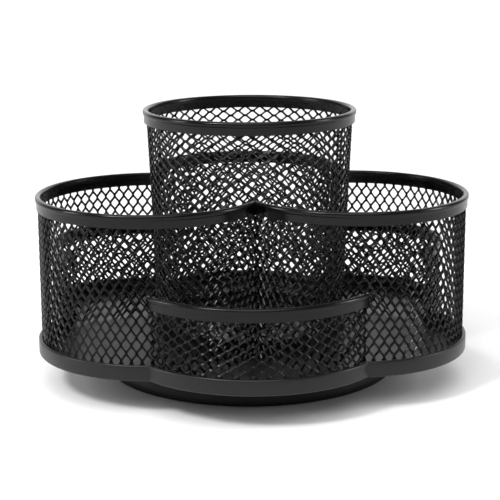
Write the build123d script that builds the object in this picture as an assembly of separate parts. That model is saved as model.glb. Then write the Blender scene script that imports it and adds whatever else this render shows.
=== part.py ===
"""Desk organizer of black mesh steel that turns on a lazy-susan base.

Frame: millimetres, +Z up, origin on the spin axis at the surface it stands on.
The front pocket faces -Y, the user. Each named piece is written as its own STEP file.
"""
from build123d import *
import math
import os

# ---------------------------------------------------------------- driving dimensions
# Plan: radii are to the centre of the round bead on each rim.
SIDE_RADIUS = 46.0  # left and right compartments
SIDE_REACH = 48.0  # spin axis to their centres
SIDE_ANGLE = 30.0  # degrees that their centres lie forward of straight sideways
REAR_RADIUS = 42.0
REAR_REACH = 37.2
POCKET_RADIUS = 53.0  # front pocket
POCKET_REACH = 37.5
REAR_POCKET_RADIUS = 36.0  # half-round pockets behind the side compartments
REAR_POCKET_REACH = 60.0
REAR_POCKET_ANGLE = 31.0  # degrees that their centres lie behind straight sideways
CUP_RADIUS = 43.8

# Heights above the table.
PAD_THICKNESS = 1.0
BASE_TOP = 12.2
TRAY_BOTTOM = 14.6
TRAY_TOP = 21.1
POCKET_TOP = 48.5
SIDE_TOP = 80.3
CUP_TOP = 111.5

# Sheet metal and mesh.
SHEET = 1.0
WALL = 0.6  # mesh as a plain sheet
WALL_INSET = 0.4  # bead centre to the outer face of the mesh
HEM_OUT = 1.6  # tray edge stands this far outside the bead centre
TRAY_CREASE = 2.5  # radius of the creases between the tray's lobes
TRAY_EDGE = 0.7  # rounding of the tray's lower edge

# Folded rim strip: an oval bead on two leaves that grip the mesh.
BEAD_WIDTH = 2.9
BEAD_HEIGHT = 2.4
BEAD_OUT = 1.2
LEAF = 0.6
RIM_HEIGHT = 5.5

# Centre cup foot.
CUP_FOOT_RADIUS = 39.4
CUP_DISH_SHEET = 0.8
CUP_FLANGE_TOP = 21.0

# Turntable base.
BASE_RADIUS = 62.6
BASE_TOP_RADIUS = 61.0
BASE_SKIRT = 0.4  # height of the skirt's edge above the table
BASE_STEP = 2.2  # upright part of the base's edge, below its slope
BASE_TOP_ROUND = 0.8
BASE_WALL = 2.2
BASE_FLOOR_TOP = 3.8
PAD_RADIUS = 58.0
PAD_MARGIN = 0.4

# Ball bearing: two pressed plates, a caged ring of balls between them.
PLATE_SIDE = 76.0
PLATE_CORNER = 8.0
PLATE_BORE = 17.0
RACE_FOOT = 33.0
RACE_SHOULDER = 31.0
RACE_RISE = 4.4
BALL_PITCH = 26.0
BALL_RADIUS = 2.5
BALL_COUNT = 18
GROOVE_RADIUS = 2.6
CAGE_WIDTH = 8.0
CAGE_THICKNESS = 1.5
FIXING_OFFSET = 32.5  # fixings at the plate corners, from each centre line

# Pivot.
BOSS_RADIUS = 9.0
BOSS_TOP = 13.4
BUSH_RADIUS = 6.0
BUSH_FLANGE_RADIUS = 8.5
BUSH_RUNNING = 0.08  # radial clearance of the bush in the turning parts
PIVOT_LIFT = 0.2  # end clearance below and above the turning parts
WASHER_RADIUS = 9.5
WASHER_THICKNESS = 1.0
PIVOT_SHANK = 1.9
PIVOT_TIP = 5.0
PIVOT_HEAD = 4.2
PIVOT_HEAD_HEIGHT = 2.5

# Screws and rivets at the corners of the bearing plates.
SCREW_SHANK = 1.45
SCREW_HEAD = 2.9
SCREW_HEAD_HEIGHT = 1.8
SCREW_TIP = 1.8
RIVET_SHANK = 1.6
RIVET_HEAD = 2.8
RIVET_HEAD_HEIGHT = 1.2
RIVET_TAIL = 2.4

# Pan heads: the crown's rounding, and the cross recess as shares of the head.
CROWN_ROUND = 0.7
RECESS_DEPTH_SHARE = 0.6
RECESS_WIDTH_SHARE = 0.24
RECESS_LENGTH_SHARE = 1.1

# ---------------------------------------------------------------- derived values
LEFT_CENTRE = Vector(-SIDE_REACH, 0).rotate(Axis.Z, SIDE_ANGLE)
RIGHT_CENTRE = Vector(SIDE_REACH, 0).rotate(Axis.Z, -SIDE_ANGLE)
REAR_CENTRE = Vector(0, REAR_REACH)
LEFT_REAR_CENTRE = Vector(-REAR_POCKET_REACH, 0).rotate(Axis.Z, -REAR_POCKET_ANGLE)
RIGHT_REAR_CENTRE = Vector(REAR_POCKET_REACH, 0).rotate(Axis.Z, REAR_POCKET_ANGLE)
POCKETS = {
    "front_pocket": (Vector(0, -POCKET_REACH), POCKET_RADIUS),
    "left_rear_pocket": (LEFT_REAR_CENTRE, REAR_POCKET_RADIUS),
    "right_rear_pocket": (RIGHT_REAR_CENTRE, REAR_POCKET_RADIUS),
}

TRAY_FLOOR = TRAY_BOTTOM + SHEET
CUP_DISH_FLOOR = TRAY_FLOOR + CUP_DISH_SHEET
WASHER_BOTTOM = CUP_DISH_FLOOR + PIVOT_LIFT
WASHER_TOP = WASHER_BOTTOM + WASHER_THICKNESS
BALL_HEIGHT = (BASE_FLOOR_TOP + TRAY_BOTTOM) / 2
FAR = 140.0  # beyond the outline in any direction
ZONE_INWARD = 12.0  # how far a compartment's share reaches inwards of its corners


def section(*points):
    """Closed outline of (radius, height) points, ready to turn about the axis."""
    return make_face(Plane.XZ * Polyline(*points, close=True))


def band(r_low, r_high, z_low, z_high):
    """Rectangular section between two radii and two heights."""
    return section((r_low, z_low), (r_high, z_low), (r_high, z_high), (r_low, z_high))


def turned(*outlines):
    """Sections joined and turned about the vertical axis."""
    profile = outlines[0]
    for outline in outlines[1:]:
        profile += outline
    return revolve(profile, axis=Axis.Z)


def disc(radius, z_low, z_high):
    """Plain upright cylinder between two heights."""
    height = z_high - z_low
    return Pos(0, 0, z_low) * Cylinder(radius, height, align=(Align.CENTER, Align.CENTER, Align.MIN))


def rim_ring(radius, top):
    """Full ring of folded rim strip: the bead above, a leaf each side of the mesh."""
    bead_centre = radius + BEAD_OUT - BEAD_WIDTH / 2
    bead = Plane.XZ * Pos(bead_centre, top - BEAD_HEIGHT / 2) * SlotOverall(BEAD_WIDTH, BEAD_HEIGHT)
    mesh_outer = radius - WALL_INSET
    mesh_inner = mesh_outer - WALL
    low = top - RIM_HEIGHT
    high = top - BEAD_HEIGHT / 2
    outer_leaf = band(mesh_outer, mesh_outer + LEAF, low, high)
    inner_leaf = band(mesh_inner - LEAF, mesh_inner, low, high)
    return turned(bead, outer_leaf, inner_leaf)


def wall_ring(radius, top):
    """Full upright mesh wall from the tray floor up into its rim."""
    outer = radius - WALL_INSET
    return turned(band(outer - WALL, outer, TRAY_FLOOR, top - BEAD_HEIGHT))


def corner_between(centre_a, radius_a, centre_b, radius_b):
    """Outer crossing of two plan circles, and the direction of the mitre through it."""
    gap = centre_b - centre_a
    along = (radius_a**2 - radius_b**2 + gap.length**2) / (2 * gap.length)
    aside = math.sqrt(radius_a**2 - along**2)
    unit = gap.normalized()
    square = Vector(-unit.Y, unit.X)
    crossings = [centre_a + unit * along + square * aside * sign for sign in (1, -1)]
    corner = max(crossings, key=lambda point: point.length)
    mitre = ((corner - centre_a).normalized() + (corner - centre_b).normalized()).normalized()
    return corner, mitre


def lobe_zone(corner_a, corner_b, centre):
    """Upright block that keeps one compartment's share of the outline, cut on the mitres."""
    (point_a, mitre_a), (point_b, mitre_b) = corner_a, corner_b
    outline = [
        point_a - mitre_a * ZONE_INWARD,
        point_a + mitre_a * FAR / 2,
        centre.normalized() * FAR,
        point_b + mitre_b * FAR / 2,
        point_b - mitre_b * ZONE_INWARD,
    ]
    face = make_face(Polyline(*[(point.X, point.Y) for point in outline], close=True))
    return extrude(face, CUP_TOP)


def one_piece(shape):
    """The single solid of a shape that must be one piece."""
    solids = shape.solids()
    if len(solids) != 1:
        raise ValueError(f"expected one solid, got {len(solids)}")
    return solids[0]


def pan_head(radius, height, z_low):
    """Pan head of a screw, its crown rounded, with a plain cross recess."""
    recess_depth = height * RECESS_DEPTH_SHARE
    recess_width = radius * RECESS_WIDTH_SHARE
    recess_length = radius * RECESS_LENGTH_SHARE
    head = disc(radius, z_low, z_low + height)
    head = fillet(head.edges().sort_by(Axis.Z)[-1], CROWN_ROUND)
    for size in ((recess_length, recess_width), (recess_width, recess_length)):
        slot = Box(*size, recess_depth, align=(Align.CENTER, Align.CENTER, Align.MAX))
        head -= Pos(0, 0, z_low + height) * slot
    return head


def at_plate_corners(piece):
    """Four copies of a fixing, one at each corner of the bearing plates."""
    spots = [(x, y) for x in (-FIXING_OFFSET, FIXING_OFFSET) for y in (-FIXING_OFFSET, FIXING_OFFSET)]
    return Compound(children=[Pos(x, y, 0) * piece for x, y in spots])


# ---------------------------------------------------------------- turntable base
def make_non_slip_pad():
    """Foam disc that the organizer stands on."""
    return disc(PAD_RADIUS, 0, PAD_THICKNESS)


def make_base_disc():
    """Moulded round base: a shallow dish with a recess for the pad and a pivot boss."""
    outside = section(
        (0, PAD_THICKNESS),
        (PAD_RADIUS + PAD_MARGIN, PAD_THICKNESS),
        (PAD_RADIUS + PAD_MARGIN, BASE_SKIRT),
        (BASE_RADIUS, BASE_SKIRT),
        (BASE_RADIUS, BASE_SKIRT + BASE_STEP),
        (BASE_TOP_RADIUS, BASE_TOP),
        (BASE_TOP_RADIUS - BASE_WALL, BASE_TOP),
        (BASE_RADIUS - BASE_WALL - BASE_STEP, BASE_FLOOR_TOP),
        (BOSS_RADIUS, BASE_FLOOR_TOP),
        (BOSS_RADIUS, BOSS_TOP),
        (0, BOSS_TOP),
    )
    base = turned(outside)
    base -= disc(PIVOT_SHANK, PIVOT_TIP, BOSS_TOP)
    for hole in at_plate_corners(disc(SCREW_SHANK, SCREW_TIP, BASE_FLOOR_TOP)).solids():
        base -= hole
    circles = base.edges().filter_by(GeomType.CIRCLE).filter_by_position(Axis.Z, BASE_TOP, BASE_TOP)
    return one_piece(fillet(circles.sort_by(SortBy.RADIUS)[-1], BASE_TOP_ROUND))


def make_lower_bearing_plate():
    """Pressed square plate whose raised middle carries the ball groove."""
    z = BASE_FLOOR_TOP
    top = section(
        (PLATE_BORE, z),
        (RACE_FOOT + SHEET, z),
        (RACE_FOOT + SHEET, z + SHEET),
        (RACE_FOOT, z + SHEET),
        (RACE_SHOULDER, z + RACE_RISE),
        (PLATE_BORE, z + RACE_RISE),
    )
    hollow = section(
        (PLATE_BORE - SHEET, z - SHEET),
        (RACE_FOOT - SHEET, z - SHEET),
        (RACE_FOOT - SHEET, z),
        (RACE_SHOULDER - SHEET, z + RACE_RISE - SHEET),
        (PLATE_BORE - SHEET, z + RACE_RISE - SHEET),
    )
    groove = Plane.XZ * Pos(BALL_PITCH, BALL_HEIGHT) * Circle(GROOVE_RADIUS)
    backing = Plane.XZ * Pos(BALL_PITCH, BALL_HEIGHT) * Circle(GROOVE_RADIUS + SHEET)
    race = revolve(top - groove - (hollow - backing), axis=Axis.Z)
    flat = extrude(RectangleRounded(PLATE_SIDE, PLATE_SIDE, PLATE_CORNER), SHEET)
    plate = Pos(0, 0, z) * flat - disc(RACE_FOOT, 0, TRAY_BOTTOM) + race
    for hole in at_plate_corners(disc(SCREW_SHANK, 0, TRAY_BOTTOM)).solids():
        plate -= hole
    return one_piece(plate)


def make_upper_bearing_plate():
    """The other plate, turned over, with larger holes for its rivets."""
    plate = mirror(make_lower_bearing_plate(), about=Plane.XY.offset(BALL_HEIGHT))
    for hole in at_plate_corners(disc(RIVET_SHANK, BALL_HEIGHT, TRAY_BOTTOM)).solids():
        plate -= hole
    return one_piece(plate)


def around_pitch(piece):
    """Copies of a piece at every ball's place."""
    return [Rot(0, 0, 360 * i / BALL_COUNT) * piece for i in range(BALL_COUNT)]


def make_ball_cage():
    """Flat nylon ring that spaces the balls."""
    low = BALL_HEIGHT - CAGE_THICKNESS / 2
    high = BALL_HEIGHT + CAGE_THICKNESS / 2
    cage = turned(band(BALL_PITCH - CAGE_WIDTH / 2, BALL_PITCH + CAGE_WIDTH / 2, low, high))
    for pocket in around_pitch(Pos(BALL_PITCH, 0, 0) * disc(GROOVE_RADIUS, low, high)):
        cage -= pocket
    return one_piece(cage)


def make_bearing_balls():
    """The ring of loose steel balls."""
    ball = Pos(BALL_PITCH, 0, BALL_HEIGHT) * Sphere(BALL_RADIUS)
    return Compound(children=around_pitch(ball))


def make_base_screws():
    """Screws that hold the lower plate to the base."""
    plate_top = BASE_FLOOR_TOP + SHEET
    screw = disc(SCREW_SHANK, SCREW_TIP, plate_top) + pan_head(SCREW_HEAD, SCREW_HEAD_HEIGHT, plate_top)
    return at_plate_corners(screw)


def make_tray_rivets():
    """Rivets that hold the upper plate to the tray."""
    plate_bottom = TRAY_BOTTOM - SHEET
    dome_radius = (RIVET_HEAD**2 + RIVET_HEAD_HEIGHT**2) / (2 * RIVET_HEAD_HEIGHT)
    dome_centre = TRAY_FLOOR + RIVET_HEAD_HEIGHT - dome_radius
    dome = Pos(0, 0, dome_centre) * Sphere(dome_radius) & disc(RIVET_HEAD, TRAY_FLOOR, TRAY_TOP)
    tail = disc(RIVET_TAIL, plate_bottom - RIVET_HEAD_HEIGHT, plate_bottom)
    tail = fillet(tail.edges().sort_by(Axis.Z)[0], RIVET_HEAD_HEIGHT / 2)
    return at_plate_corners(dome + disc(RIVET_SHANK, plate_bottom, TRAY_FLOOR) + tail)


def make_pivot_bush():
    """Flanged nylon bush that centres the turning parts."""
    bush = disc(BUSH_FLANGE_RADIUS, BOSS_TOP, TRAY_BOTTOM - PIVOT_LIFT)
    bush += disc(BUSH_RADIUS, TRAY_BOTTOM - PIVOT_LIFT, WASHER_BOTTOM)
    return one_piece(bush - disc(PIVOT_SHANK, BOSS_TOP, WASHER_BOTTOM))


def make_pivot_washer():
    """Washer that keeps the turning parts down."""
    washer = disc(WASHER_RADIUS, WASHER_BOTTOM, WASHER_TOP)
    return one_piece(washer - disc(PIVOT_SHANK, WASHER_BOTTOM, WASHER_TOP))


def make_pivot_screw():
    """Screw at the middle of the cup's floor, on the spin axis."""
    shank = disc(PIVOT_SHANK, PIVOT_TIP, WASHER_TOP)
    return one_piece(shank + pan_head(PIVOT_HEAD, PIVOT_HEAD_HEIGHT, WASHER_TOP))


# ---------------------------------------------------------------- tray and compartments
FRONT_CORNER = corner_between(LEFT_CENTRE, SIDE_RADIUS, RIGHT_CENTRE, SIDE_RADIUS)
LEFT_CORNER = corner_between(LEFT_CENTRE, SIDE_RADIUS, REAR_CENTRE, REAR_RADIUS)
RIGHT_CORNER = corner_between(RIGHT_CENTRE, SIDE_RADIUS, REAR_CENTRE, REAR_RADIUS)
LOBES = {
    "left": (LEFT_CENTRE, SIDE_RADIUS, lobe_zone(FRONT_CORNER, LEFT_CORNER, LEFT_CENTRE)),
    "right": (RIGHT_CENTRE, SIDE_RADIUS, lobe_zone(FRONT_CORNER, RIGHT_CORNER, RIGHT_CENTRE)),
    "rear": (REAR_CENTRE, REAR_RADIUS, lobe_zone(LEFT_CORNER, RIGHT_CORNER, REAR_CENTRE)),
}


def clover(grow, crease):
    """Plan of all the compartments together, grown past the bead centres, its creases rounded."""
    circles = [(centre, radius) for centre, radius, _ in LOBES.values()]
    outline = Circle(CUP_FOOT_RADIUS)
    for centre, radius in circles + list(POCKETS.values()):
        outline += Pos(centre.X, centre.Y) * Circle(radius + grow)
    return fillet(outline.vertices(), crease)


def make_tray_pan():
    """Pressed tray: a flat floor with a hemmed edge that follows every compartment."""
    outside = clover(HEM_OUT, TRAY_CREASE)
    inside = clover(-WALL_INSET, TRAY_CREASE + HEM_OUT + WALL_INSET)
    pan = Pos(0, 0, TRAY_BOTTOM) * extrude(outside, TRAY_TOP - TRAY_BOTTOM)
    pan -= Pos(0, 0, TRAY_FLOOR) * extrude(inside, TRAY_TOP)
    levels = pan.edges().group_by(Axis.Z)
    pan = fillet(levels[0] + levels[-1], TRAY_EDGE)
    pan -= disc(BUSH_RADIUS + BUSH_RUNNING, TRAY_BOTTOM, TRAY_FLOOR)
    for hole in at_plate_corners(disc(RIVET_SHANK, TRAY_BOTTOM, TRAY_FLOOR)).solids():
        pan -= hole
    return one_piece(pan)


def cup_wall_radius(z):
    """Outer radius of the cup's tapered mesh at a height below its rim."""
    top = CUP_TOP - RIM_HEIGHT
    share = (z - CUP_DISH_FLOOR) / (top - CUP_DISH_FLOOR)
    return CUP_FOOT_RADIUS + share * (CUP_RADIUS - WALL_INSET - CUP_FOOT_RADIUS)


def make_centre_cup_dish():
    """Pressed bottom of the centre cup, its flange round the foot of the mesh."""
    foot = cup_wall_radius(CUP_DISH_FLOOR)
    lip = cup_wall_radius(CUP_FLANGE_TOP)
    dish = turned(
        section(
            (BUSH_RADIUS + BUSH_RUNNING, TRAY_FLOOR),
            (foot + CUP_DISH_SHEET, TRAY_FLOOR),
            (lip + CUP_DISH_SHEET, CUP_FLANGE_TOP),
            (lip, CUP_FLANGE_TOP),
            (foot, CUP_DISH_FLOOR),
            (BUSH_RADIUS + BUSH_RUNNING, CUP_DISH_FLOOR),
        )
    )
    return one_piece(dish)


def make_centre_cup_mesh():
    """Tapered mesh wall of the tall cup, upright where its rim grips it."""
    low = CUP_DISH_FLOOR
    bend = CUP_TOP - RIM_HEIGHT
    high = CUP_TOP - BEAD_HEIGHT
    outer = [(cup_wall_radius(low), low), (cup_wall_radius(bend), bend), (cup_wall_radius(bend), high)]
    inner = [(radius - WALL, z) for radius, z in reversed(outer)]
    return one_piece(turned(section(*outer, *inner)))


def cup_block():
    """Solid block inside the outer face of the cup's mesh."""
    bend = CUP_TOP - RIM_HEIGHT
    foot = cup_wall_radius(TRAY_FLOOR)
    return turned(section((0, TRAY_FLOOR), (foot, TRAY_FLOOR), (cup_wall_radius(bend), bend), (0, bend)))


def make_lobe_mesh(name):
    """Upright mesh wall of one outer compartment, its ends against the cup."""
    centre, radius, zone = LOBES[name]
    return one_piece((Pos(centre.X, centre.Y) * wall_ring(radius, SIDE_TOP) & zone) - cup_block())


def make_lobe_rim(name):
    """Rim strip of one outer compartment, mitred to its neighbours against the cup."""
    centre, radius, zone = LOBES[name]
    return one_piece((Pos(centre.X, centre.Y) * rim_ring(radius, SIDE_TOP) & zone) - cup_block())


def outside_compartments(name, ring):
    """The part of a pocket's ring outside the compartments, its ends against their walls."""
    centre, _ = POCKETS[name]
    piece = Pos(centre.X, centre.Y) * ring
    for lobe_centre, radius, _ in LOBES.values():
        piece -= Pos(lobe_centre.X, lobe_centre.Y) * disc(radius - WALL_INSET, 0, CUP_TOP)
    return max(piece.solids(), key=lambda solid: Vector(solid.center().X, solid.center().Y).length)


def write_pieces():
    """Builds every piece and writes it under its own name."""
    pieces = {
        "non_slip_pad": make_non_slip_pad(),
        "base_disc": make_base_disc(),
        "lower_bearing_plate": make_lower_bearing_plate(),
        "base_screws": make_base_screws(),
        "pivot_bush": make_pivot_bush(),
        "pivot_washer": make_pivot_washer(),
        "pivot_screw": make_pivot_screw(),
        "ball_cage_ring": make_ball_cage(),
        "bearing_balls": make_bearing_balls(),
        "upper_bearing_plate": make_upper_bearing_plate(),
        "tray_rivets": make_tray_rivets(),
        "tray_pan": make_tray_pan(),
        "centre_cup_dish": make_centre_cup_dish(),
        "centre_cup_mesh": make_centre_cup_mesh(),
        "centre_cup_rim": one_piece(rim_ring(CUP_RADIUS, CUP_TOP)),
    }
    for name, (_, radius) in POCKETS.items():
        pieces[f"{name}_mesh"] = outside_compartments(name, wall_ring(radius, POCKET_TOP))
        pieces[f"{name}_rim"] = outside_compartments(name, rim_ring(radius, POCKET_TOP))
    for name in LOBES:
        pieces[f"{name}_mesh"] = make_lobe_mesh(name)
        pieces[f"{name}_rim"] = make_lobe_rim(name)
    os.makedirs("parts", exist_ok=True)
    for name, piece in pieces.items():
        export_step(piece, os.path.join("parts", f"{name}.step"))


write_pieces()
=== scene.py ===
"""Looks of the turning mesh desk organizer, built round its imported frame.

Metres, +Z up, spin axis on Z, the front pocket towards -Y. Sizes named in millimetres are turned
to metres once, where they are named.
"""
import logging
import math
from abc import ABC, abstractmethod
from dataclasses import dataclass, field
from enum import Enum

import bmesh
import bpy
from mathutils import Matrix, Vector


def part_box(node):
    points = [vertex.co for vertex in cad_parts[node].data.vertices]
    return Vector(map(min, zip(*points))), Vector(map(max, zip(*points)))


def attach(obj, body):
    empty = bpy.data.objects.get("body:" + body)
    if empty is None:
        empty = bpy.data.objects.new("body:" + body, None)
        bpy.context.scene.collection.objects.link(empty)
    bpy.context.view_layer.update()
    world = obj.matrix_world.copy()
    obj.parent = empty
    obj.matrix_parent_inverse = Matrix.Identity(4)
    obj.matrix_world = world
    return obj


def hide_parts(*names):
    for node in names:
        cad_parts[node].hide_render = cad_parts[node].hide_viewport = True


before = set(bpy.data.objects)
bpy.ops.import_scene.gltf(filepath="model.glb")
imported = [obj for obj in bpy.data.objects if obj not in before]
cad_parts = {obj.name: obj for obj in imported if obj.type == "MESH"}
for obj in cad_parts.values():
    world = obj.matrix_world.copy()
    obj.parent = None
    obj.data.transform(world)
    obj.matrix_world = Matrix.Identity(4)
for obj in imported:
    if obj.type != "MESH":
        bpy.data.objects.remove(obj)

MM = 0.001
UP = Vector((0.0, 0.0, 1.0))
WELD = 0.02 * MM  # points nearer than this are one point
log = logging.getLogger("organizer")


# ------------------------------------------------------------------ plan of the organizer
@dataclass(frozen=True)
class Lobe:
    """One round compartment in plan, out to the centre of its rim bead."""

    centre: Vector
    radius: float

    def bearing(self, point: Vector) -> float:
        """Angle of a point seen from the centre, anticlockwise from +X."""
        away = point - self.centre
        return math.atan2(away.y, away.x)


def corner_between(a: Lobe, b: Lobe, grow: float = 0.0) -> Vector:
    """Finds the outer crossing of two lobes' circles.

    Args:
        a: First lobe.
        b: Second lobe.
        grow: Length added to both radii.

    Returns:
        The crossing that lies further from the spin axis.
    """
    radius_a, radius_b = a.radius + grow, b.radius + grow
    gap = b.centre - a.centre
    along = (radius_a**2 - radius_b**2 + gap.length_squared) / (2 * gap.length)
    aside = math.sqrt(radius_a**2 - along**2)
    unit = gap.normalized()
    square = UP.cross(unit)
    crossings = (a.centre + unit * along + square * aside * side for side in (1, -1))
    return max(crossings, key=lambda crossing: crossing.length)


@dataclass(frozen=True)
class Mitre:
    """Upright plane in which two lobes' walls and rims meet."""

    point: Vector
    outward: Vector

    @classmethod
    def between(cls, a: Lobe, b: Lobe) -> "Mitre":
        """Finds the plane through the corner of two lobes, halfway between their walls.

        Args:
            a: First lobe.
            b: Second lobe.

        Returns:
            The plane.
        """
        point = corner_between(a, b)
        outward = (point - a.centre).normalized() + (point - b.centre).normalized()
        return cls(point, outward.normalized())

    def away_from(self, centre: Vector) -> Vector:
        """Normal of the plane that points away from a lobe's centre."""
        normal = UP.cross(self.outward)
        return normal if normal.dot(self.point - centre) > 0 else -normal


@dataclass
class Plan:
    """Every compartment's circle, worked out from the frame and three radii.

    Every radius goes to the centre line of the rim's bead. bead_out is from there to the rim's
    outside, which is what the frame's boxes show.
    """

    side_radius: float = 46.0 * MM
    pocket_radius: float = 53.0 * MM
    rear_pocket_radius: float = 36.0 * MM
    bead_out: float = 1.2 * MM
    cup: Lobe = field(init=False)
    left: Lobe = field(init=False)
    right: Lobe = field(init=False)
    rear: Lobe = field(init=False)
    front_pocket: Lobe = field(init=False)
    left_rear_pocket: Lobe = field(init=False)
    right_rear_pocket: Lobe = field(init=False)

    def __post_init__(self) -> None:
        """Reads the rims' boxes."""
        reach = self.side_radius + self.bead_out
        low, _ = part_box("left_rim")
        self.left = Lobe(Vector((low.x + reach, low.y + reach, 0)), self.side_radius)
        self.right = Lobe(Vector((-self.left.centre.x, self.left.centre.y, 0)), self.side_radius)
        low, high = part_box("rear_rim")
        rear_reach = (high.x - low.x) / 2
        self.rear = Lobe(Vector((0, high.y - rear_reach, 0)), rear_reach - self.bead_out)
        low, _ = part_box("front_pocket_rim")
        reach = self.pocket_radius + self.bead_out
        self.front_pocket = Lobe(Vector((0, low.y + reach, 0)), self.pocket_radius)
        reach = self.rear_pocket_radius + self.bead_out
        low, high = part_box("left_rear_pocket_rim")
        centre = Vector((low.x + reach, high.y - reach, 0))
        self.left_rear_pocket = Lobe(centre, self.rear_pocket_radius)
        self.right_rear_pocket = Lobe(Vector((-centre.x, centre.y, 0)), self.rear_pocket_radius)
        low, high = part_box("centre_cup_rim")
        self.cup = Lobe(Vector((0, 0, 0)), (high.x - low.x) / 2 - self.bead_out)

    def outline(self) -> list[Lobe]:
        """Every lobe of the tray's edge in turn, anticlockwise."""
        return [
            self.right,
            self.right_rear_pocket,
            self.rear,
            self.left_rear_pocket,
            self.left,
            self.front_pocket,
        ]


# ------------------------------------------------------------------ finishes
def linear(hex_colour: str) -> tuple[float, float, float, float]:
    """Turns an sRGB hex colour into linear RGBA, by the curve of the sRGB standard.

    Args:
        hex_colour: Colour as "#rrggbb".

    Returns:
        Red, green, blue and alpha.
    """
    values = [int(hex_colour[start : start + 2], 16) / 255 for start in (1, 3, 5)]
    red, green, blue = (v / 12.92 if v <= 0.04045 else ((v + 0.055) / 1.055) ** 2.4 for v in values)
    return (red, green, blue, 1.0)


def add_node(
    tree: bpy.types.NodeTree, kind: str, settings: dict | None = None, links: dict | None = None
) -> bpy.types.Node:
    """Adds one shader node.

    Args:
        tree: Node tree that gets it.
        kind: Type of the node.
        settings: Attribute names, or input names, and their values.
        links: Input names and the output sockets that feed them.

    Returns:
        The new node.
    """
    node = tree.nodes.new(kind)
    for key, value in (settings or {}).items():
        if hasattr(node, key):
            setattr(node, key, value)
        else:
            node.inputs[key].default_value = value
    for key, socket in (links or {}).items():
        tree.links.new(socket, node.inputs[key])
    return node


def per_metre(size_mm: float) -> float:
    """Noise scale whose features are about this many millimetres across."""
    return 1.0 / (size_mm * MM)


MOTTLE_DETAIL = 3.0
RELIEF_DETAIL = 2.0
COLOUR_SPAN = (0.35, 0.65)  # noise values at which the mottle reaches its two colours
GLOSS_SPAN = (0.30, 0.70)  # and its two roughness values


@dataclass(frozen=True)
class Finish:
    """A surface on one real material: mottled colour and gloss over a fine relief.

    The two colours and the two roughness values are the ends of a soft mottle. The relief is the
    process's own: orange peel in powder coat, spark grain in a moulding, spangle in zinc.
    """

    name: str
    slot: str
    dark: str
    light: str
    smooth: float
    rough: float
    mottle_mm: float
    relief_mm: float
    relief_depth_mm: float
    metallic: float = 0.0
    specular: float = 0.5

    @staticmethod
    def noise(tree: bpy.types.NodeTree, size_mm: float, detail: float) -> bpy.types.NodeSocket:
        """Adds noise that sits still on the piece.

        Args:
            tree: Node tree that gets it.
            size_mm: About how far across its features are.
            detail: How many finer layers it has.

        Returns:
            Its value, from 0 to 1.
        """
        place = add_node(tree, "ShaderNodeTexCoord").outputs["Object"]
        settings = {"Scale": per_metre(size_mm), "Detail": detail}
        return add_node(tree, "ShaderNodeTexNoise", settings, {"Vector": place}).outputs["Fac"]

    def material(self) -> bpy.types.Material:
        """Builds the node material, once.

        Returns:
            The material.
        """
        made = bpy.data.materials.get(self.name)
        if made:
            return made
        made = bpy.data.materials.new(self.name)
        made.use_nodes = True
        tree = made.node_tree
        shader = tree.nodes["Principled BSDF"]
        mottle = self.noise(tree, self.mottle_mm, MOTTLE_DETAIL)
        share = add_node(
            tree,
            "ShaderNodeMapRange",
            {
                "From Min": COLOUR_SPAN[0],
                "From Max": COLOUR_SPAN[1],
                "interpolation_type": "SMOOTHSTEP",
            },
            {"Value": mottle},
        )
        colour = add_node(tree, "ShaderNodeMix", {"data_type": "RGBA"})
        ends = [socket for socket in colour.inputs if socket.type == "RGBA"]
        for socket, value in zip(ends, (self.dark, self.light)):
            socket.default_value = linear(value)
        tree.links.new(share.outputs["Result"], colour.inputs["Factor"])
        mixed = next(socket for socket in colour.outputs if socket.type == "RGBA")
        tree.links.new(mixed, shader.inputs["Base Color"])
        gloss = add_node(
            tree,
            "ShaderNodeMapRange",
            {
                "From Min": GLOSS_SPAN[0],
                "From Max": GLOSS_SPAN[1],
                "To Min": self.smooth,
                "To Max": self.rough,
            },
            {"Value": mottle},
        )
        tree.links.new(gloss.outputs["Result"], shader.inputs["Roughness"])
        bump = add_node(
            tree,
            "ShaderNodeBump",
            {"Strength": 1.0, "Distance": self.relief_depth_mm * MM},
            {"Height": self.noise(tree, self.relief_mm, RELIEF_DETAIL)},
        )
        tree.links.new(bump.outputs["Normal"], shader.inputs["Normal"])
        shader.inputs["Metallic"].default_value = self.metallic
        shader.inputs["Specular IOR Level"].default_value = self.specular
        return made


# Polyester powder coat, sprayed dry and baked: semi-gloss black with a soft orange peel.
RIM_COAT = Finish(
    name="powder_coated_strip",
    slot="powder_coat_rim",
    dark="#040404",
    light="#090909",
    smooth=0.20,
    rough=0.30,
    mottle_mm=9.0,
    relief_mm=0.9,
    relief_depth_mm=0.008,
    specular=0.24,
)
# The same coat on expanded metal, where it draws back from the strand edges.
MESH_COAT = Finish(
    name="powder_coated_mesh",
    slot="powder_coat_mesh",
    dark="#030303",
    light="#070707",
    smooth=0.20,
    rough=0.30,
    mottle_mm=6.0,
    relief_mm=0.8,
    relief_depth_mm=0.005,
    specular=0.2,
)
# The same coat on a wide pressed sheet, a little flatter.
TRAY_COAT = Finish(
    name="powder_coated_sheet",
    slot="powder_coat_tray",
    dark="#060606",
    light="#0d0d0d",
    smooth=0.30,
    rough=0.42,
    mottle_mm=14.0,
    relief_mm=1.0,
    relief_depth_mm=0.012,
    specular=0.36,
)
# Black ABS, injection moulded in a spark-eroded tool: an even, matt grain.
BASE_ABS = Finish(
    name="moulded_abs",
    slot="moulded_base",
    dark="#040404",
    light="#080808",
    smooth=0.42,
    rough=0.54,
    mottle_mm=12.0,
    relief_mm=0.6,
    relief_depth_mm=0.02,
    specular=0.25,
)
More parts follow.
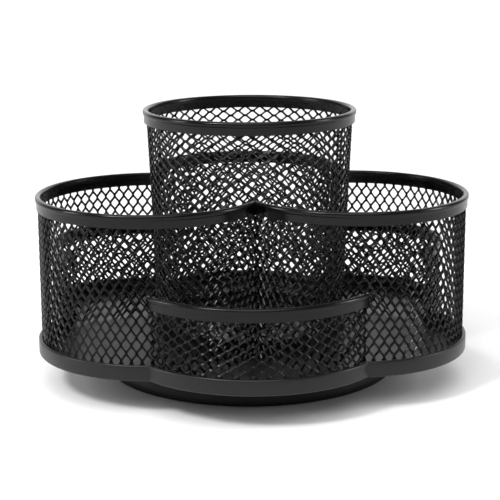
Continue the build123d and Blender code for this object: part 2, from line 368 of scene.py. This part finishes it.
# Bright zinc plate on pressed steel: blue-grey with a faint spangle.
ZINC = Finish(
    name="zinc_plated_steel",
    slot="zinc_plate",
    dark="#a9aeb4",
    light="#c6cacd",
    smooth=0.24,
    rough=0.38,
    mottle_mm=3.0,
    relief_mm=0.7,
    relief_depth_mm=0.004,
    metallic=1.0,
)
# Steel turned, then blackened in hot oxide and oiled: dark, with a dull sheen.
BLACK_OXIDE = Finish(
    name="black_oxide_steel",
    slot="black_oxide",
    dark="#131314",
    light="#1e1e1f",
    smooth=0.34,
    rough=0.46,
    mottle_mm=2.5,
    relief_mm=0.4,
    relief_depth_mm=0.004,
    metallic=1.0,
)
# Ground and polished chrome steel with a film of grease.
BALL_STEEL = Finish(
    name="bearing_ball_steel",
    slot="bearing_steel",
    dark="#cfd0d2",
    light="#e2e2e3",
    smooth=0.06,
    rough=0.12,
    mottle_mm=2.0,
    relief_mm=0.5,
    relief_depth_mm=0.0005,
    metallic=1.0,
)
# Natural nylon 6, injection moulded: creamy, slightly waxy.
NYLON = Finish(
    name="moulded_nylon",
    slot="nylon",
    dark="#cdc8b8",
    light="#ddd8c9",
    smooth=0.40,
    rough=0.52,
    mottle_mm=6.0,
    relief_mm=0.8,
    relief_depth_mm=0.008,
)
# Closed-cell EVA foam, sliced: matt, with burst cells at the cut face.
FOAM = Finish(
    name="eva_foam",
    slot="foam_pad",
    dark="#141414",
    light="#202020",
    smooth=0.80,
    rough=0.92,
    mottle_mm=5.0,
    relief_mm=0.5,
    relief_depth_mm=0.06,
    specular=0.4,
)


# ------------------------------------------------------------------ pieces
def add_object(name: str, data: bpy.types.ID) -> bpy.types.Object:
    """Puts a mesh, light or camera into the scene.

    Args:
        name: Name of the object.
        data: What it shows.

    Returns:
        The new object.
    """
    made = bpy.data.objects.new(name, data)
    bpy.context.scene.collection.objects.link(made)
    return made


def piece(
    name: str, bm: bmesh.types.BMesh, finish: Finish, body: str, nodes: tuple[str, ...]
) -> bpy.types.Object:
    """Turns a finished bmesh into a piece of the organizer.

    Args:
        name: Name of the piece.
        bm: Its shape, in place. It is freed.
        finish: What it is made of.
        body: Body of the frame that it moves with.
        nodes: Frame nodes that it stands for.

    Returns:
        The new object.
    """
    mesh = bpy.data.meshes.new(name)
    bm.to_mesh(mesh)
    bm.free()
    mesh.shade_smooth()
    made = add_object(name, mesh)
    mesh.materials.append(finish.material())
    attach(made, body)
    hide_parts(*nodes)
    log.info("%s: %d faces, rides on %s", name, len(mesh.polygons), body)
    return made


def whole(bm: bmesh.types.BMesh) -> list:
    """Every vertex, edge and face of a bmesh, as the operators take them."""
    return bm.verts[:] + bm.edges[:] + bm.faces[:]


def cut(bm: bmesh.types.BMesh, point: Vector, normal: Vector) -> None:
    """Cuts away what lies on the normal's side of a plane."""
    bmesh.ops.bisect_plane(
        bm, geom=whole(bm), dist=WELD / 10, plane_co=point, plane_no=normal, clear_outer=True
    )


def close(bm: bmesh.types.BMesh) -> None:
    """Welds doubles, fills open ends and turns every face outwards.

    Args:
        bm: The shape to close.
    """
    bmesh.ops.remove_doubles(bm, verts=bm.verts, dist=WELD)
    open_edges = [edge for edge in bm.edges if edge.is_boundary]
    bmesh.ops.holes_fill(bm, edges=open_edges, sides=0)
    bmesh.ops.recalc_face_normals(bm, faces=bm.faces)


def round_corners(
    bm: bmesh.types.BMesh, corners: list[bmesh.types.BMVert], size: float, segments: int
) -> list[bmesh.types.BMVert]:
    """Rounds corners of a flat face.

    Args:
        bm: Holds the face.
        corners: The corners to round.
        size: Radius of the rounding.
        segments: Number of edges in each rounding.

    Returns:
        The vertices of the roundings.
    """
    rounded = bmesh.ops.bevel(
        bm,
        geom=corners,
        offset=size,
        offset_type="OFFSET",
        segments=segments,
        profile=0.5,
        affect="VERTICES",
        material=-1,
    )
    return rounded["verts"]


@dataclass(frozen=True)
class Section:
    """Outline of a turned or bent part, as (outwards, upwards) points from a reference line.

    Each point carries the radius to which its corner is rounded. An open outline starts and ends
    at its first and last points.
    """

    points: tuple[tuple[float, float, float], ...]
    closed: bool = True
    corner_steps: int = 4

    def laid_out(self, bm: bmesh.types.BMesh, radius: float, height: float) -> list:
        """Draws the outline in the XZ plane, its reference line at a radius and height.

        Args:
            bm: Gets the outline.
            radius: Distance of the reference line from the Z axis.
            height: Height of the reference line.

        Returns:
            The outline's vertices and edges.
        """
        verts = [bm.verts.new((radius + out, 0.0, height + up)) for out, up, _ in self.points]
        bm.faces.new(verts)
        for vert, (_, _, rounding) in zip(verts, self.points):
            if rounding:
                round_corners(bm, [vert], rounding, self.corner_steps)
        bmesh.ops.delete(bm, geom=bm.faces[:], context="FACES_ONLY")
        if not self.closed:
            tips = [
                Vector((radius + out, 0.0, height + up))
                for out, up, _ in (self.points[0], self.points[-1])
            ]
            shut = [
                edge
                for edge in bm.edges
                if all(min((vert.co - tip).length for tip in tips) < WELD for vert in edge.verts)
            ]
            bmesh.ops.delete(bm, geom=shut, context="EDGES")
        return bm.verts[:] + bm.edges[:]


def turned(section: Section, radius: float, height: float, steps: int) -> bmesh.types.BMesh:
    """Turns an outline all the way round the Z axis.

    Args:
        section: The outline.
        radius: Distance of its reference line from the axis.
        height: Height of its reference line.
        steps: Number of steps in the turn.

    Returns:
        The closed shape.
    """
    bm = bmesh.new()
    outline = section.laid_out(bm, radius, height)
    bmesh.ops.spin(
        bm, geom=outline, cent=(0, 0, 0), axis=UP, angle=math.tau, steps=steps, use_merge=True
    )
    close(bm)
    return bm


def stand_at(bm: bmesh.types.BMesh, lobe: Lobe, bearing: float) -> None:
    """Moves an outline from the Z axis to a lobe's own axis, turned to a bearing."""
    bmesh.ops.rotate(bm, verts=bm.verts, cent=(0, 0, 0), matrix=Matrix.Rotation(bearing, 3, "Z"))
    bmesh.ops.translate(bm, verts=bm.verts, vec=lobe.centre)


def bent(
    section: Section, lobe: Lobe, height: float, start: float, end: float, steps: int
) -> bmesh.types.BMesh:
    """Bends an outline round part of a lobe.

    Args:
        section: The outline.
        lobe: What it is bent round.
        height: Height of its reference line.
        start: Bearing at which it starts.
        end: Bearing at which it ends, anticlockwise from there.
        steps: Number of steps in the bend.

    Returns:
        The shape, open at both ends.
    """
    bm = bmesh.new()
    outline = section.laid_out(bm, lobe.radius, height)
    stand_at(bm, lobe, start)
    bmesh.ops.spin(bm, geom=outline, cent=lobe.centre, axis=UP, angle=end - start, steps=steps)
    return bm


# ------------------------------------------------------------------ expanded metal
class LongWay(Enum):
    """Which way the diamonds of the mesh lie."""

    LEVEL = "level"
    UPRIGHT = "upright"


CELL_BORDER = 0.999  # share of a cell's half size past which a point lies on its border


@dataclass(frozen=True)
class ExpandedMetal:
    """Slit and stretched steel sheet: diamonds between strands that lean out of the sheet.

    The pitches are the diamond's diagonals from knot to knot, bond is the flat at a knot where
    two strands part, and lean is how far a strand's edges stand out of the sheet.
    """

    long_pitch: float
    short_pitch: float
    way: LongWay
    strand: float
    bond: float = 0.9 * MM
    hole_round: float = 0.3 * MM
    lean: float = 0.22 * MM
    gauge: float = 0.7 * MM

    @property
    def pitch(self) -> tuple[float, float]:
        """Pitch along the wall and up it."""
        level = (self.long_pitch, self.short_pitch)
        return level if self.way is LongWay.LEVEL else level[::-1]

    def cell(self, bm: bmesh.types.BMesh) -> None:
        """Makes one hole with half of each strand round it, in the XZ plane about the origin.

        Args:
            bm: Gets the cell. It has to be empty.
        """
        half_bond = self.bond / 2
        half_long = self.long_pitch / 2 - half_bond
        half_short = self.short_pitch / 2
        ring = [(half_long, 0), (half_bond, half_short), (-half_bond, half_short)]
        ring += [(-along, -up) for along, up in ring]
        face = bm.faces.new([bm.verts.new((along, 0.0, up)) for along, up in ring])
        face.normal_update()
        bmesh.ops.inset_individual(
            bm, faces=[face], thickness=self.strand / 2, use_even_offset=True
        )
        edge_of_hole = list(face.verts)
        bmesh.ops.delete(bm, geom=[face], context="FACES_ONLY")
        reach = half_short - self.strand / 2
        for vert in round_corners(bm, edge_of_hole, self.hole_round, 1):
            share = max(abs(vert.co.x) / half_long, abs(vert.co.z) / half_short)
            if vert.is_boundary and share < CELL_BORDER:
                vert.co.y -= self.lean * max(-1.0, min(1.0, vert.co.z / reach))
        if self.way is LongWay.UPRIGHT:
            quarter = Matrix.Rotation(math.pi / 2, 3, "Y")
            bmesh.ops.rotate(bm, verts=bm.verts, cent=(0, 0, 0), matrix=quarter)

    def flat_sheet(self, columns: int, rows: int) -> bmesh.types.BMesh:
        """Repeats the cell over a flat sheet in the XZ plane, from the origin to +X and +Z.

        Args:
            columns: Number of cells along X.
            rows: Number of cells up Z.

        Returns:
            The sheet.
        """
        bm = bmesh.new()
        self.cell(bm)
        across, upwards = self.pitch
        twin = bmesh.ops.duplicate(bm, geom=whole(bm))["geom"]
        twin_verts = [item for item in twin if isinstance(item, bmesh.types.BMVert)]
        bmesh.ops.translate(bm, verts=twin_verts, vec=(across / 2, 0, upwards / 2))
        for step, count in ((Vector((across, 0, 0)), columns), (Vector((0, 0, upwards)), rows)):
            bmesh.ops.spin(
                bm,
                geom=whole(bm),
                cent=(0, 0, 0),
                axis=UP,
                dvec=step,
                angle=0,
                steps=count - 1,
                use_duplicate=True,
            )
        bmesh.ops.remove_doubles(bm, verts=bm.verts, dist=WELD)
        return bm


@dataclass(frozen=True)
class MeshWall:
    """A sheet of expanded metal rolled round a lobe, straight or tapered.

    Its foot and top are heights, and it has a radius at each.
    """

    metal: ExpandedMetal
    lobe: Lobe
    foot: float
    top: float
    foot_radius: float
    top_radius: float

    def rolled(self, start: float, columns: int) -> bmesh.types.BMesh:
        """Rolls the sheet anticlockwise from a bearing and trims it to the wall's foot and top.

        Args:
            start: Bearing of the first column.
            columns: Number of columns. They take the metal's pitch at the top radius.

        Returns:
            The wall's middle surface.
        """
        _, upwards = self.metal.pitch
        rows = math.ceil((self.top - self.foot) / upwards) + 1
        bm = self.metal.flat_sheet(columns, rows)
        bmesh.ops.translate(bm, verts=bm.verts, vec=(0, 0, self.foot - upwards / 2))
        slope = (self.top_radius - self.foot_radius) / (self.top - self.foot)
        for vert in bm.verts:
            angle = start + vert.co.x / self.top_radius
            radius = self.foot_radius + slope * (vert.co.z - self.foot) - vert.co.y
            round_lobe = Vector((radius * math.cos(angle), radius * math.sin(angle), vert.co.z))
            vert.co = self.lobe.centre + round_lobe
        cut(bm, Vector((0, 0, self.top)), UP)
        cut(bm, Vector((0, 0, self.foot)), -UP)
        bmesh.ops.remove_doubles(bm, verts=bm.verts, dist=WELD)
        bmesh.ops.recalc_face_normals(bm, faces=bm.faces)
        return bm

    def dressed(self, name: str, bm: bmesh.types.BMesh) -> bpy.types.Object:
        """Makes the wall a piece and gives it the sheet's gauge.

        Args:
            name: Name of the piece: "expanded_" and the frame node that it stands for.
            bm: The wall's middle surface, trimmed. It is freed.

        Returns:
            The new object.
        """
        made = piece(name, bm, MESH_COAT, "carousel", (name.removeprefix("expanded_"),))
        made.data.shade_flat()
        gauge = made.modifiers.new("gauge", "SOLIDIFY")
        gauge.thickness = self.metal.gauge
        gauge.offset = 0.0
        return made


# ------------------------------------------------------------------ rims
@dataclass(frozen=True)
class RimStrip:
    """Folded strip that grips the top edge of a mesh wall: a round bead over a flat band."""

    bead_out: float = 1.2 * MM
    bead_in: float = 1.2 * MM
    bead_height: float = 2.4 * MM
    bead_round: float = 1.12 * MM
    fold_round: float = 0.56 * MM
    shoulder_round: float = 1.0976 * MM
    band_out: float = 0.75 * MM
    band_in: float = 1.15 * MM
    groove: float = 0.18 * MM
    lip: float = 0.22 * MM
    height: float = 5.5 * MM
    corner_steps: int = 5

    def section(self) -> Section:
        """Draws the strip about the bead's centre line.

        Returns:
            Its outline, with heights from the rim's top.
        """
        return Section(
            (
                (self.bead_out, 0.0, self.bead_round),
                (-self.bead_in, 0.0, self.bead_round),
                (-self.bead_in, -self.bead_height, self.fold_round),
                (-self.band_in, -self.bead_height - self.groove, 0.0),
                (-self.band_in, -self.height, self.lip),
                (self.band_out, -self.height, self.lip),
                (self.band_out, -self.bead_height + self.groove, self.groove),
                (self.bead_out, -self.bead_height + self.groove, self.shoulder_round),
            ),
            corner_steps=self.corner_steps,
        )

    def finished(self, name: str, bm: bmesh.types.BMesh) -> bpy.types.Object:
        """Makes a bent strip a piece."""
        return piece(f"rolled_{name}", bm, RIM_COAT, "carousel", (name,))


# ------------------------------------------------------------------ sub-assemblies
@dataclass
class TallCup:
    """The round cup in the middle: mesh wall and rim."""

    plan: Plan
    columns: int = 41
    short_pitch: float = 4.0 * MM
    strand: float = 0.62 * MM
    foot_inset: float = 0.7 * MM
    dish_sheet: float = 1.1 * MM
    rim_steps: int = 176

    def build(self) -> None:
        """Builds the wall, which tapers to the inside of the dish's flange, and the rim."""
        rim_low, rim_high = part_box("centre_cup_rim")
        low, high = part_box("centre_cup_mesh")
        dish_low, dish_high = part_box("centre_cup_dish")
        lobe = self.plan.cup
        top_radius = lobe.radius - self.foot_inset
        flange_radius = (dish_high.x - dish_low.x) / 2 - self.dish_sheet
        share = (dish_high.z - low.z) / (rim_low.z - low.z)
        foot_radius = (flange_radius - share * top_radius) / (1 - share)
        metal = ExpandedMetal(
            long_pitch=math.tau * top_radius / self.columns,
            short_pitch=self.short_pitch,
            way=LongWay.LEVEL,
            strand=self.strand,
        )
        wall = MeshWall(metal, lobe, low.z, high.z, foot_radius, top_radius)
        wall.dressed("expanded_centre_cup_mesh", wall.rolled(-math.pi / 2, self.columns))
        rim = RimStrip()
        ring = turned(rim.section(), lobe.radius, rim_high.z, self.rim_steps)
        rim.finished("centre_cup_rim", ring)


@dataclass(kw_only=True)
class Compartment(ABC):
    """A mesh wall and its rim, bent round part of a lobe and cut at both ends."""

    name: str
    lobe: Lobe
    metal: ExpandedMetal
    spare: float  # angle by which each end is made too long before it is cut
    wall_inset: float = 0.35 * MM  # from the bead's centre line in to the wall
    mesh_bite: float = 0.0  # how far past its end planes the wall may run
    rim_bite: float = 0.0
    step: float = math.radians(2.0)

    @abstractmethod
    def end_planes(self) -> list[tuple[Vector, Vector]]:
        """The plane at each end, anticlockwise: a point of it and its outward normal."""

    def trim(self, bm: bmesh.types.BMesh, bite: float) -> None:
        """Cuts a wall or a rim at both ends, this far past its end planes."""
        for point, outwards in self.end_planes():
            cut(bm, point + outwards * bite, outwards)

    def build(self) -> None:
        """Builds the wall and the rim."""
        start, end = (self.lobe.bearing(point) for point, _ in self.end_planes())
        while end < start:
            end += math.tau
        start -= self.spare
        end += self.spare
        low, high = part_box(f"{self.name}_mesh")
        radius = self.lobe.radius - self.wall_inset
        wall = MeshWall(self.metal, self.lobe, low.z, high.z, radius, radius)
        columns = math.ceil((end - start) * radius / self.metal.pitch[0])
        sheet = wall.rolled(start, columns)
        self.trim(sheet, self.mesh_bite)
        wall.dressed(f"expanded_{self.name}_mesh", sheet)
        _, rim_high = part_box(f"{self.name}_rim")
        rim = RimStrip()
        steps = math.ceil((end - start) / self.step)
        strip = bent(rim.section(), self.lobe, rim_high.z, start, end, steps)
        self.trim(strip, self.rim_bite)
        close(strip)
        rim.finished(f"{self.name}_rim", strip)


@dataclass(kw_only=True)
class OuterCompartment(Compartment):
    """One of the three lower compartments, which runs between two mitres."""

    before: Mitre
    after: Mitre
    metal: ExpandedMetal = ExpandedMetal(
        long_pitch=6.5 * MM,
        short_pitch=4.15 * MM,
        way=LongWay.UPRIGHT,
        strand=0.62 * MM,
        lean=0.32 * MM,
    )
    spare: float = math.radians(9.0)

    def end_planes(self) -> list[tuple[Vector, Vector]]:
        """The two mitres."""
        mitres = (self.before, self.after)
        return [(mitre.point, mitre.away_from(self.lobe.centre)) for mitre in mitres]


@dataclass(kw_only=True)
class LowPocket(Compartment):
    """One of the low pockets, which runs between the walls of two outer compartments."""

    first: Lobe
    last: Lobe
    metal: ExpandedMetal = ExpandedMetal(
        long_pitch=6.5 * MM,
        short_pitch=4.0 * MM,
        way=LongWay.LEVEL,
        strand=0.66 * MM,
        bond=1.1 * MM,
    )
    spare: float = math.radians(4.0)
    mesh_bite: float = 0.3 * MM
    rim_bite: float = 0.2 * MM

    def end_planes(self) -> list[tuple[Vector, Vector]]:
        """Finds the upright planes that touch the two compartments' walls.

        Returns:
            A point of each plane and its outward normal.
        """
        planes = []
        for side in (self.first, self.last):
            end = corner_between(self.lobe, side, -self.wall_inset)
            planes.append((end, (side.centre - end).normalized()))
        return planes


@dataclass
class Tray:
    """Pressed tray: one sheet floor with a hemmed edge round all the compartments."""

    plan: Plan
    hem_out: float = 1.6 * MM
    hem_in: float = 0.4 * MM
    hem_round: float = 0.7 * MM
    foot_round: float = 0.4 * MM
    sheet: float = 1.0 * MM
    shelf: float = 3.0 * MM  # how far in from the hem the floor is spun, before it is filled
    crease: float = 0.5 * MM
    step: float = math.radians(2.0)
    fewest_steps: int = 6

    def build(self) -> None:
        """Spins the edge's outline round each lobe and crease in turn, then fills the floor."""
        low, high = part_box("tray_pan")
        height = high.z - low.z
        section = Section(
            (
                (-self.shelf, 0.0, 0.0),
                (self.hem_out, 0.0, self.hem_round),
                (self.hem_out, height, self.hem_round),
                (-self.hem_in, height, self.hem_round),
                (-self.hem_in, self.sheet, self.foot_round),
                (-self.shelf, self.sheet, 0.0),
            ),
            closed=False,
        )
        lobes = self.plan.outline()
        following = lobes[1:] + lobes[:1]
        grow = self.hem_out + self.crease
        creases = [corner_between(a, b, grow) for a, b in zip(lobes, following)]
        bm = bmesh.new()
        outline = section.laid_out(bm, lobes[0].radius, low.z)
        stand_at(bm, lobes[0], lobes[0].bearing(creases[-1]))
        before = creases[-1]
        for lobe, after, neighbour in zip(lobes, creases, following):
            outline = self.swept(bm, outline, lobe.centre, before, after, 1)
            outline = self.swept(bm, outline, after, lobe.centre, neighbour.centre, -1)
            before = after
        close(bm)
        piece("pressed_tray_pan", bm, TRAY_COAT, "carousel", ("tray_pan",))

    def swept(
        self, bm: bmesh.types.BMesh, outline: list, centre: Vector, a: Vector, b: Vector, turn: int
    ) -> list:
        """Spins an outline about a centre, from the direction of one point to that of another.

        Args:
            bm: Holds the outline and gets the new faces.
            outline: The vertices and edges to spin.
            centre: Centre of the arc.
            a: Point towards which the arc starts.
            b: Point towards which it ends.
            turn: 1 for anticlockwise, -1 for clockwise.

        Returns:
            The outline at the far end of the arc.
        """
        start, end = (math.atan2((p - centre).y, (p - centre).x) for p in (a, b))
        angle = ((end - start) * turn) % math.tau * turn
        steps = max(self.fewest_steps, math.ceil(abs(angle) / self.step))
        spun = bmesh.ops.spin(bm, geom=outline, cent=centre, axis=UP, angle=angle, steps=steps)
        return spun["geom_last"]


@dataclass
class Turntable:
    """The base under the tray: an upright foot, a drafted rim, and a boss for the pivot.

    The bearing and the pivot inside it are the frame's own pieces.
    """

    steps: int = 180
    wall: float = 2.2 * MM
    draft: float = 1.6 * MM
    step_up: float = 2.2 * MM
    rim_top: float = 12.2 * MM
    boss_radius: float = 9.0 * MM
    pad_play: float = 0.4 * MM

    def build(self) -> None:
        """Turns the base about the spin axis."""
        low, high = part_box("base_disc")
        pad_low, pad_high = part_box("non_slip_pad")
        plate_low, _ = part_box("lower_bearing_plate")
        radius = (high.x - low.x) / 2
        pad_radius = (pad_high.x - pad_low.x) / 2 + self.pad_play
        top_radius = radius - self.draft
        inner = radius - self.wall - self.step_up
        section = Section(
            (
                (pad_radius, pad_high.z, 0.2 * MM),
                (pad_radius, low.z, 0.2 * MM),
                (radius, low.z, 0.5 * MM),
                (radius, low.z + self.step_up, 0.6 * MM),
                (top_radius, self.rim_top, 0.9 * MM),
                (top_radius - self.wall, self.rim_top, 0.5 * MM),
                (inner, plate_low.z, 0.6 * MM),
                (self.boss_radius, plate_low.z, 0.4 * MM),
                (self.boss_radius, high.z, 0.3 * MM),
            )
        )
        bm = turned(section, 0.0, 0.0, self.steps)
        piece("moulded_base_disc", bm, BASE_ABS, "base", ("base_disc",))


# The frame's own pieces that stay on show.
CARRIED_OVER = {
    "non_slip_pad": FOAM,
    "lower_bearing_plate": ZINC,
    "upper_bearing_plate": ZINC,
    "base_screws": ZINC,
    "pivot_washer": BLACK_OXIDE,
    "pivot_screw": BLACK_OXIDE,
    "pivot_bush": NYLON,
    "ball_cage_ring": NYLON,
    "bearing_balls": BALL_STEEL,
    "tray_rivets": TRAY_COAT,
    "centre_cup_dish": TRAY_COAT,
}


def dress_frame_nodes() -> None:
    """Gives the frame's own pieces that stay on show their finishes."""
    for name, finish in CARRIED_OVER.items():
        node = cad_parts[name]
        for slot in node.material_slots:
            slot.material = finish.material()
        log.info("%s: finished in %s", name, finish.name)


# ------------------------------------------------------------------ studio
@dataclass(frozen=True)
class Softbox:
    """Area light that faces the organizer. Its place and size are in metres."""

    name: str
    place: tuple[float, float, float]
    size: tuple[float, float]
    watts: float

    def hang(self, aim: Vector) -> None:
        """Hangs the light.

        Args:
            aim: Point that it faces.
        """
        data = bpy.data.lights.new(self.name, "AREA")
        data.shape = "RECTANGLE"
        data.size, data.size_y = self.size
        data.energy = self.watts
        look = (aim - Vector(self.place)).to_track_quat("-Z", "Y").to_matrix().to_4x4()
        add_object(self.name, data).matrix_world = Matrix.Translation(self.place) @ look


@dataclass(frozen=True)
class Sun:
    """Distant round light. Its angles are in degrees.

    Width is the angle that it spans: a wide one throws soft shadows. Elevation is its height
    above the table, measured from the front, so past 90 it stands behind. Side is how far it is
    turned to the right.
    """

    name: str
    strength: float
    width: float
    elevation: float
    side: float

    def hang(self) -> None:
        """Hangs the light."""
        data = bpy.data.lights.new(self.name, "SUN")
        data.energy = self.strength
        data.angle = math.radians(self.width)
        lean = Matrix.Rotation(math.radians(90 - self.elevation), 4, "X")
        aside = Matrix.Rotation(math.radians(self.side), 4, "Z")
        add_object(self.name, data).matrix_world = aside @ lean


SOFTBOXES = (
    Softbox("left_softbox", place=(-0.85, -0.1, 0.34), size=(0.16, 0.5), watts=2.8),
    Softbox("right_softbox", place=(0.85, -0.1, 0.34), size=(0.16, 0.5), watts=2.8),
    Softbox("back_panel", place=(0.0, 2.9, 1.27), size=(5.44, 2.175), watts=56.0),
    Softbox("upper_left_softbox", place=(-0.62, -0.6, 0.9), size=(0.2, 0.2), watts=7.0),
)
SUNS = (
    Sun("front_key", strength=1.7, width=50.0, elevation=57.0, side=-6.0),
    Sun("overhead_fill", strength=0.3, width=80.0, elevation=96.0, side=0.0),
)


@dataclass
class Studio:
    """White table, soft light and the camera."""

    distance: float = 620.9 * MM
    aim_height: float = 60.0 * MM
    elevation: float = math.radians(12.23)
    tilt: float = math.radians(-0.92)
    roll: float = math.radians(-0.23)
    turn: float = math.radians(2.6)
    lens_mm: float = 103.94
    sensor_mm: float = 36.0
    sight: float = 20.0
    table_reach: float = 4.0
    paper: str = "#fafafa"
    paper_roughness: float = 0.9
    room_colour: str = "#ffffff"
    room_strength: float = 0.18

    def camera(self) -> None:
        """Puts the camera in front, a little above, and turns it slightly to one side."""
        data = bpy.data.cameras.new("camera")
        data.lens = self.lens_mm
        data.sensor_width = self.sensor_mm
        data.clip_end = self.sight
        back = self.distance * math.cos(self.elevation)
        height = self.distance * math.sin(self.elevation) + self.aim_height
        pitch = self.elevation - self.tilt
        look = Matrix.Rotation(math.pi / 2 - pitch, 4, "X") @ Matrix.Rotation(self.roll, 4, "Z")
        aside = Matrix.Rotation(-self.turn, 4, "Z")
        made = add_object("camera", data)
        made.matrix_world = aside @ Matrix.Translation((0, -back, height)) @ look
        bpy.context.scene.camera = made

    def table(self) -> None:
        """Lays the white table under the organizer."""
        bm = bmesh.new()
        bmesh.ops.create_grid(bm, x_segments=2, y_segments=2, size=self.table_reach)
        mesh = bpy.data.meshes.new("table")
        bm.to_mesh(mesh)
        bm.free()
        made = add_object("table", mesh)
        paper = bpy.data.materials.new("white_paper_sweep")
        paper.use_nodes = True
        shader = paper.node_tree.nodes["Principled BSDF"]
        shader.inputs["Base Color"].default_value = linear(self.paper)
        shader.inputs["Roughness"].default_value = self.paper_roughness
        mesh.materials.append(paper)

    def room(self) -> None:
        """Lights the rest of the room dimly."""
        world = bpy.data.worlds.new("dim_room")
        bpy.context.scene.world = world
        world.use_nodes = True
        sky = world.node_tree.nodes["Background"]
        sky.inputs["Color"].default_value = linear(self.room_colour)
        sky.inputs["Strength"].default_value = self.room_strength

    def build(self) -> None:
        """Sets up everything that isn't the organizer."""
        self.camera()
        self.table()
        for softbox in SOFTBOXES:
            softbox.hang(Vector((0, 0, self.aim_height)))
        for sun in SUNS:
            sun.hang()
        self.room()
        bpy.context.scene.view_settings.view_transform = "Standard"


def main() -> None:
    """Builds the studio and every part of the organizer."""
    logging.basicConfig(level=logging.INFO, format="%(message)s")
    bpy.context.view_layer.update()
    Studio().build()
    plan = Plan()
    Turntable().build()
    Tray(plan).build()
    TallCup(plan).build()
    front = Mitre.between(plan.left, plan.right)
    left_rear = Mitre.between(plan.left, plan.rear)
    right_rear = Mitre.between(plan.right, plan.rear)
    OuterCompartment(name="left", lobe=plan.left, before=left_rear, after=front).build()
    OuterCompartment(name="right", lobe=plan.right, before=front, after=right_rear).build()
    OuterCompartment(name="rear", lobe=plan.rear, before=right_rear, after=left_rear).build()
    for name, lobe, first, last in (
        ("front_pocket", plan.front_pocket, plan.left, plan.right),
        ("left_rear_pocket", plan.left_rear_pocket, plan.rear, plan.left),
        ("right_rear_pocket", plan.right_rear_pocket, plan.right, plan.rear),
    ):
        LowPocket(name=name, lobe=lobe, first=first, last=last).build()
    dress_frame_nodes()


if __name__ == "__main__":
    main()
